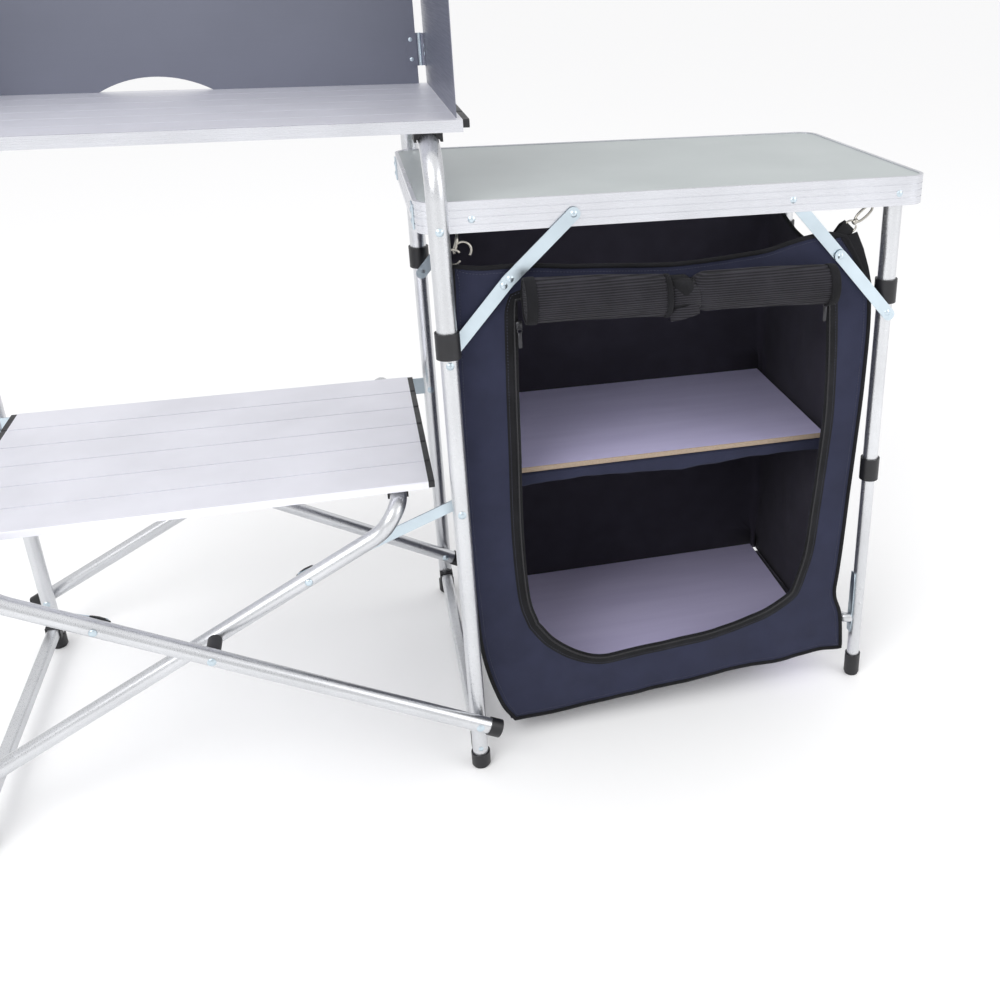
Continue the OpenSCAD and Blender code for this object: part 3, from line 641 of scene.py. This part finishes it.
def stitches(name, loop, lift, pitch=4.2, length=2.7, body="frame"):
    path = np.vstack([loop, loop[:1]])
    total = np.linalg.norm(np.diff(path, axis=0), axis=1).sum()
    count = int(total / pitch)
    spots = even(path, count + 1)
    parts = []
    for a, b in zip(spots[:-1], spots[1:]):
        end = a + (b - a) * (length / pitch)
        mid = (a + end) / 2
        line = on_front([a, mid, end], lift)
        line[0][1] += 0.5
        line[2][1] += 0.5
        parts.append(tube_mesh(line, 0.42, sides=4))
    verts, faces = merge(parts)
    return piece(name, verts, faces, "thread", body, "black_webbing")


front = front_panel()
walls, wall_top, wall_bottom = shell()
under = bottom_sheet(wall_bottom)
tape, coil = zip_tape()
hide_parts("larder_bag")
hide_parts("larder_zip_track")
seam_inner = stitches("seam_zip_outer", offset_loop(inner, 13.5), 1.6)
seam_edge = stitches("seam_edge", offset_loop(outer, -7.5), 0.8)
piping = tube("piping_front", on_front(outer, 0.6), 2.9, "binding", "frame", "black_webbing", closed=True,
    sides=10)
top_binding = tube("binding_walls_top", wall_top, 2.4, "binding", "frame", "black_webbing", sides=8,
    flat=1.3)


def lined_board(name, node):
    """Laminated board with bare fibre edges."""
    low, high = (np.array(c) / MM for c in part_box(node))
    verts, faces = rounded_box(low, high, 0.9)
    picks = [1] * len(faces)
    picks[-1] = picks[-2] = 0
    obj = piece(name, verts, faces, "board", "frame", "board", smooth=False, extra=("edge",), picks=picks)
    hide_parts(node)
    return low, high


shelf_low, shelf_high = lined_board("shelf_board", "larder_shelf_board")
lined_board("floor_board", "larder_floor_board")


def shelf_sling():
    """Cloth that carries the middle board; its front hem hangs below the board's edge."""
    cols, rows = 90, 26
    x0, x1 = shelf_low[0] - 34, shelf_high[0] + 6
    y0, y1 = shelf_low[1] - 2.2, shelf_high[1] - 2
    verts = []
    for i in range(rows):
        v = i / (rows - 1)
        for j in range(cols):
            u = j / (cols - 1)
            x = x0 + (x1 - x0) * u
            if v < 0.3:
                drop = 1 - v / 0.3
                wave = 2.6 * noise.noise(Vector((x * 0.022, 0.3, 4.0)))
                depth = 17 + 3.0 * math.sin(x * 0.021 + 0.5) + 2.0 * noise.noise(Vector((x * 0.03, 9.0,
                    1.0)))
                verts.append((x, y0 + wave * drop, shelf_low[2] - 1.2 - depth * drop))
            else:
                w = (v - 0.3) / 0.7
                verts.append((x, y0 + (y1 - y0) * w, shelf_low[2] - 1.2 - 1.5 * math.sin(math.pi * w)))
    obj = piece("shelf_sling", verts, grid_faces(rows, cols), "navy_fabric", "frame", "navy_fabric")
    return thicken(obj, 0.9)


sling = shelf_sling()

# ------------------------------------------------------------------ rolled mesh door
roll_low, roll_high = (np.array(c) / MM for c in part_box("mesh_door_roll"))
roll_y = float(roll_low[1] + roll_high[1]) / 2
STRAP_X = 322.0


def roll_half(name, x0, x1, z0, z1, r0, r1, pinch):
    """Half of the rolled mesh door: tight folds that narrow toward the middle strap."""
    stations, sides = 60, 120
    verts = []
    for i in range(stations):
        s = i / (stations - 1)
        x = x0 + (x1 - x0) * s
        neck = 1 - pinch * max(0.0, (s - 0.90) / 0.10) ** 2
        ends = 1 - 0.06 * math.exp(-((s / 0.05) ** 2))
        r = (r0 + (r1 - r0) * s) * neck * ends
        cz = z0 + (z1 - z0) * s + 1.5 * math.sin(3 * s)
        for k in range(sides):
            w = 2 * math.pi * k / sides
            lap = 1 - 0.055 * (k / sides)
            ribs = 0.024 * math.sin(15 * w + 1.2 * s + 0.6 * noise.noise(Vector((s * 3, w, 2.0))))
            soft = 0.03 * noise.noise(Vector((s * 4, math.cos(w), math.sin(w))))
            rr = r * (lap + ribs + soft)
            verts.append((x, roll_y + 0.80 * rr * math.cos(w + 0.7), cz + rr * math.sin(w + 0.7)))
    faces = grid_faces(stations, sides, wrap_cols=True)
    for end, row in ((0, 0), (1, stations - 1)):
        base = row * sides
        centre = np.mean(verts[base : base + sides], axis=0)
        last = base
        for step, scale in enumerate((0.82, 0.6, 0.35, 0.12)):
            start = len(verts)
            push = (2.5 if step % 2 else -0.5) * (1 if end == 0 else -1)
            for k in range(sides):
                p = centre + (np.array(verts[base + k]) - centre) * scale
                p[0] = centre[0] + push
                verts.append(tuple(p))
            for k in range(sides):
                n = (k + 1) % sides
                quad = (last + k, start + k, start + n, last + n)
                faces.append(quad if end == 0 else quad[::-1])
            last = start
        ring = tuple(range(last, last + sides))
        faces.append(ring if end else ring[::-1])
    return piece(name, verts, faces, "mesh", "frame", "black_webbing")


def band(name, x0, x1, cz0, cz1, r0, r1, look, thick=1.0):
    """A strip of tape wound round the roll."""
    verts = []
    sides = 64
    for s, grow in ((0, -2.0), (0, thick), (0.04, thick + 0.5), (0.5, thick + 0.9), (0.96, thick + 0.5),
        (1, thick), (1, -2.0)):
        for k in range(sides):
            w = 2 * math.pi * k / sides
            r = r0 + (r1 - r0) * s + grow
            verts.append((x0 + (x1 - x0) * s, roll_y + 0.82 * r * math.cos(w),
                cz0 + (cz1 - cz0) * s + r * math.sin(w)))
    return piece(name, verts, grid_faces(7, sides, wrap_cols=True, wrap_rows=True), look, "frame",
        "black_webbing")


left_roll = roll_half("roll_left", 119, 302, 678, 671, 28.5, 27.5, 0.04)
right_roll = roll_half("roll_right", 530, 336, 668, 673, 26.5, 26, 0.22)
band("roll_end_left", 117.5, 131, 678, 678, 28.0, 28.6, "binding")
band("roll_end_middle", 295.5, 303, 671, 671, 26.6, 26.4, "binding")
band("roll_end_right", 531.5, 519, 668, 668, 26.0, 26.6, "binding")
tube("roll_neck", [(298, roll_y, 671), (STRAP_X, roll_y, 669), (340, roll_y, 671)], [19, 18, 19],
    "mesh", "frame", "black_webbing", sides=28)
strap = band("roll_strap_band", STRAP_X - 17, STRAP_X + 10, 669, 670, 19.2, 19.2, "black_webbing", 1.6)
ribbon("roll_strap_flap",
    [(STRAP_X - 22, roll_y - 16.5, 649), (STRAP_X - 10, roll_y - 19.5, 651),
        (STRAP_X + 4, roll_y - 19.5, 654), (STRAP_X + 16, roll_y - 17.5, 657)],
              (0, 0.35, 1), 15, 1.8, "mesh", "frame", "black_webbing")
ribbon("roll_strap_hanger",
    [(STRAP_X - 3, roll_y - 4, 687), (STRAP_X - 3, roll_y + 6, 691),
        (STRAP_X - 3, front_y(STRAP_X, 690) - 3.2, 690), (STRAP_X - 3, front_y(STRAP_X, 680) - 2.2, 680)],
                (1, 0, 0), 24, 1.4, "binding", "frame", "black_webbing")
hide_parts("mesh_door_roll")
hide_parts("roll_strap")


# ------------------------------------------------------------------ zip pullers
def puller(name, node, body, travel=0):
    """Slider and tab; where the cloth bulges along its travel, it stands out far enough to clear it."""
    low, high = (np.array(c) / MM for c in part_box(node))
    x = (low[0] + high[0]) / 2
    top = high[2]
    y1 = min([FRONT] + [front_y(x, top - drop) for drop in range(10, travel + 30, 10) if travel]) - 1.6
    parts = [rounded_box((x - 4.2, y1 - 4.2, top - 12), (x + 4.2, y1, top), 1.4)]
    bridge = arc((x, y1 - 4.0, top - 6), 3.4, 180, 360, 9, "yz")
    parts.append(tube_mesh(bridge, 1.0, sides=6))
    ring = arc((x, y1 - 6.6, top - 12), 3.0, 0, 345, 18, "xz")
    parts.append(tube_mesh(ring, 0.8, sides=6))
    parts.append(rounded_box((x - 2.6, y1 - 7.4, top - 35), (x + 2.6, y1 - 5.8, top - 14.5), 0.7))
    verts, faces = merge(parts)
    obj = piece(name, verts, faces, "dark_steel", body, "black_plastic")
    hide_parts(node)
    return obj


puller("puller_left", "left_zip_puller", "left_puller")
puller("puller_right", "right_zip_puller", "right_puller", travel=170)


# ------------------------------------------------------------------ hooks and straps
def snap_hook(name, start, end, width, wire, body="frame"):
    """Long wire loop with a swivel barrel at its start."""
    a, b = np.array(start, float), np.array(end, float)
    d = (b - a) / np.linalg.norm(b - a)
    n = np.cross(d, (0, 1, 0))
    n /= np.linalg.norm(n)
    length = np.linalg.norm(b - a)
    loop = []
    for k in range(40):
        w = 2 * math.pi * k / 40
        along = length / 2 + (length / 2) * math.cos(w)
        loop.append(a + d * along + n * (width / 2) * math.copysign(abs(math.sin(w)) ** 0.7, math.sin(w)))
    parts = [tube_mesh(loop, wire, sides=8, closed=True)]
    parts.append(tube_mesh([a - d * 5, a - d * 3, a + d * 1, a + d * 3],
        [wire * 1.6, wire * 2.2, wire * 2.2, wire * 1.5], sides=12))
    verts, faces = merge(parts)
    return piece(name, verts, faces, "steel", body, "zinc")


hook_y = FRONT + 4
left_hook = merge([
    tube_mesh(arc((50.5, hook_y, 739), 10.5, -40, 200, 26), 1.5, sides=8),
    tube_mesh(arc((38, hook_y - 3, 732), 9.5, 30, 330, 28), 1.4, sides=8),
    tube_mesh([(40, hook_y - 1.5, 738), (42, hook_y - 1, 744), (44, hook_y, 751), (45, hook_y + 4, 760)],
        [2.2, 2.6, 2.2, 1.6], sides=10),
])
left_hook = piece("left_hanging_hook", *left_hook, "steel", "frame", "zinc")
piece("left_back_ring",
    *merge([tube_mesh(arc((52, BACK + 10, 724), 9, 0, 345, 30), 1.4, sides=8)]), "steel", "frame", "zinc")
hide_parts("left_hanging_ring")
clip = snap_hook("right_snap_clip", (571, hook_y, 743), (594, hook_y + 2, 761), 11, 1.7)
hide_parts("right_snap_hook")
piece("right_d_ring", *merge([tube_mesh(arc((564, hook_y, 736), 8.0, 20, 365, 30), 1.3, sides=8)]), "steel",
    "frame", "zinc")
loop_strap = ribbon("right_web_loop",
    [(543, hook_y - 3, 716), (551, hook_y - 4, 726), (558, hook_y - 3, 734), (562, hook_y, 738),
        (556, hook_y + 3, 733), (548, hook_y + 3, 722)],
                    (0.72, 0.05, -0.66), 21, 1.6, "black_webbing", "frame", "black_webbing")
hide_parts("right_hanging_loop")
edge_run = on_front([(560, 726), (573, 704), (585, 678), (594, 655), (598, 634)], 1.6)
ribbon("right_corner_binding", edge_run, (1, 0, 0.35), [24, 19, 14, 9, 7], 1.4, "binding", "frame",
    "black_webbing")
ribbon("right_leg_tie",
    [(590, FRONT - 1, 640), (604, FRONT + 2, 634), (614, FRONT + 6, 629), (617.5, FRONT + 10, 627)],
       (0.2, 0, 1), 9, 1.5, "black_webbing", "frame", "black_webbing")
for side, x, z in (("left", 52, 712), ("right", 574, 706)):
    run = [(x, BACK - 6, z - 26), (x, BACK + 1, z - 8), (x, BACK + 8, z + 4), (x, BACK + 10, z + 16),
        (x, BACK + 13, z + 4), (x, BACK + 3, z - 14)]
    ribbon(side + "_back_web_loop", run, (1, 0, 0), 20, 1.5, "black_webbing", "frame", "black_webbing")
    if side == "right":
        piece("right_back_ring", *merge([tube_mesh(arc((x, BACK + 11, 724), 9, 0, 345, 30), 1.4, sides=8)]),
            "steel", "frame", "zinc")
    snap_hook(side + "_back_clip", (x, BACK + 12, 734), (x, BACK + 16, 760), 11, 1.6)


# ------------------------------------------------------------------ wind shield hinges
def hinge_leaf(points, z0, z1, thick):
    """A bent plate that runs along points in plan, from z0 to z1."""
    p = np.array([(x, y, 0) for x, y in points], float)
    t = np.gradient(p, axis=0)
    t /= np.linalg.norm(t, axis=1)[:, None]
    n = np.stack([-t[:, 1], t[:, 0], 0 * t[:, 0]], 1) * thick / 2
    verts = []
    for z in (z0, z1):
        for sign in (-1, 1):
            for q, w in zip(p, n):
                verts.append((q[0] + sign * w[0], q[1] + sign * w[1], z))
    k = len(p)
    faces = []
    for i in range(k - 1):
        faces += [(i, i + 1, 2 * k + i + 1, 2 * k + i), (k + i + 1, k + i, 3 * k + i, 3 * k + i + 1)]
        faces += [(i + 1, i, k + i, k + i + 1), (2 * k + i, 2 * k + i + 1, 3 * k + i + 1, 3 * k + i)]
    faces += [(0, 2 * k, 3 * k, k), (k - 1, 2 * k - 1, 4 * k - 1, 3 * k - 1)]
    return verts, faces


def knuckle(x, y, z0, z1, r):
    return tube_mesh([(x, y, z0), (x, y, z0 + 0.6), (x, y, z1 - 0.6), (x, y, z1)], [r - 0.5, r, r, r - 0.5],
        sides=16)


def screw(centre, axis, r=3.0, h=0.8):
    c, a = np.array(centre, float), np.array(axis, float)
    return tube_mesh([c, c + a * h * 0.5, c + a * h * 0.85, c + a * h], [r, r * 0.92, r * 0.6, r * 0.2],
        sides=14)


pin_low, pin_high = (np.array(c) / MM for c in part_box("shield_hinges"))
back_low, _ = (np.array(c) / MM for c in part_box("wind_shield_back"))
pin_y = (pin_low[1] + pin_high[1]) / 2
for side, sign, wing in (("right", 1, "right_shield_wing"), ("left", -1, "left_shield_wing")):
    pin_x = pin_high[0] - 2 if sign > 0 else pin_low[0] + 2
    wing_low, wing_high = (np.array(c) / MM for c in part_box(wing))
    inner_x = wing_low[0] if sign > 0 else wing_high[0]
    for level, z in (("low", pin_low[2]), ("high", pin_high[2] - 45)):
        fixed, moving = [], []
        face_y = back_low[1] - 0.7
        fixed.append(hinge_leaf([(pin_x - sign * 19, face_y), (pin_x - sign * 5, face_y),
            (pin_x - sign * 2.9, face_y + 0.5)], z, z + 45, 1.1))
        reach = inner_x - sign * 0.7
        moving.append(hinge_leaf([(pin_x + sign * 2.4, pin_y - 1.2), (reach - sign * 0.4, pin_y - 2.4),
            (reach, pin_y - 5), (reach, pin_y - 19)], z + 0.2, z + 44.8, 1.1))
        for a, b, group in ((0, 14.6, fixed), (15, 30, moving), (30.4, 45, fixed)):
            group.append(knuckle(pin_x, pin_y, z + a, z + b, 2.9))
        for fixed_dz, moving_dz in ((9, 17), (36, 28)):
            fixed.append(screw((pin_x - sign * 13, face_y - 0.5, z + fixed_dz), (0, -1, 0)))
            moving.append(screw((reach - sign * 0.5, pin_y - 13, z + moving_dz), (-sign, 0, 0)))
        for label, group, body in (("leaf", fixed, "stove_top"), ("wing_leaf", moving, side + "_wing")):
            verts, faces = merge(group)
            plates = len(group[0][1])
            picks = [0] * plates + [1] * (len(faces) - plates)
            piece(f"hinge_{side}_{level}_{label}", verts, faces, "shield", body, "zinc", smooth=False,
                extra=("zinc",), picks=picks)


# ------------------------------------------------------------------ small frame details
joints = {joint["name"]: joint for joint in frame["joints"]}
cross_x, _, cross_z = (c / MM for c in joints["crossing_pivot"]["pos_m"])
leg_x, _, leg_z = (c / MM for c in joints["stand_fold"]["pos_m"])
strut_top_z = joints["right_strut_swing"]["pos_m"][2] / MM
slope = math.atan2(cross_z - leg_z, leg_x - cross_x)
BRACE_AT = 140
end_dx, end_z = BRACE_AT * math.cos(slope), cross_z + BRACE_AT * math.sin(slope)
half_stand = leg_x - cross_x
for label, sign, pair, struts, front_tube in (
    ("right", 1, "inner_pair", "right_strut_set", "inner_cross_tubes"),
    ("left", -1, "outer_pair", "left_strut_set", "outer_cross_tubes"),
):
    end_x = cross_x + sign * end_dx
    tube_low, tube_high = (np.array(c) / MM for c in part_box(front_tube))
    heads = [screw((end_x, tube_low[1], end_z), (0, -1, 0), 5.2, 2.0),
        screw((end_x, tube_high[1], end_z), (0, 1, 0), 5.2, 2.0)]
    piece(f"brace_rivets_{label}", *merge(heads), "zinc", pair, "zinc")
    strut_low, strut_high = (np.array(c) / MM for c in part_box(f"{label}_struts"))
    run = np.array([sign * (half_stand - end_dx), 0, strut_top_z - end_z])
    run /= np.linalg.norm(run)
    across = np.array([-run[2], 0, run[0]])
    for where, y in (("front", strut_low[1] + 1), ("back", strut_high[1] - 1)):
        inward = 0.7 if y < 0 and sign > 0 or y > 0 and sign < 0 else -0.7
        inward = -inward if y > 0 and sign < 0 else inward
        middle = np.array([end_x, y + inward, end_z])
        path = [middle + run * k for k in (9, 6, -2, -9, -15.5)]
        ribbon(f"brace_end_{label}_{where}", path, across, [16.6, 17.4, 17.6, 15, 9], 3.2, "black_plastic",
            struts, "black_plastic")
foot_low, _ = (np.array(c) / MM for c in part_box("cabinet_foot_tubes"))
for where, sign in (("front", 1), ("back", -1)):
    x, y = foot_low[0] - 0.9, sign * (foot_low[1] + 11)
    ribbon(f"leg_strip_{where}", [(x, y, 82), (x, y, 100), (x, y, 160), (x, y, 188)], (0, 1, 0),
        [12, 14, 14, 12], 1.5, "zinc", "cabinet_foot_set", "zinc")
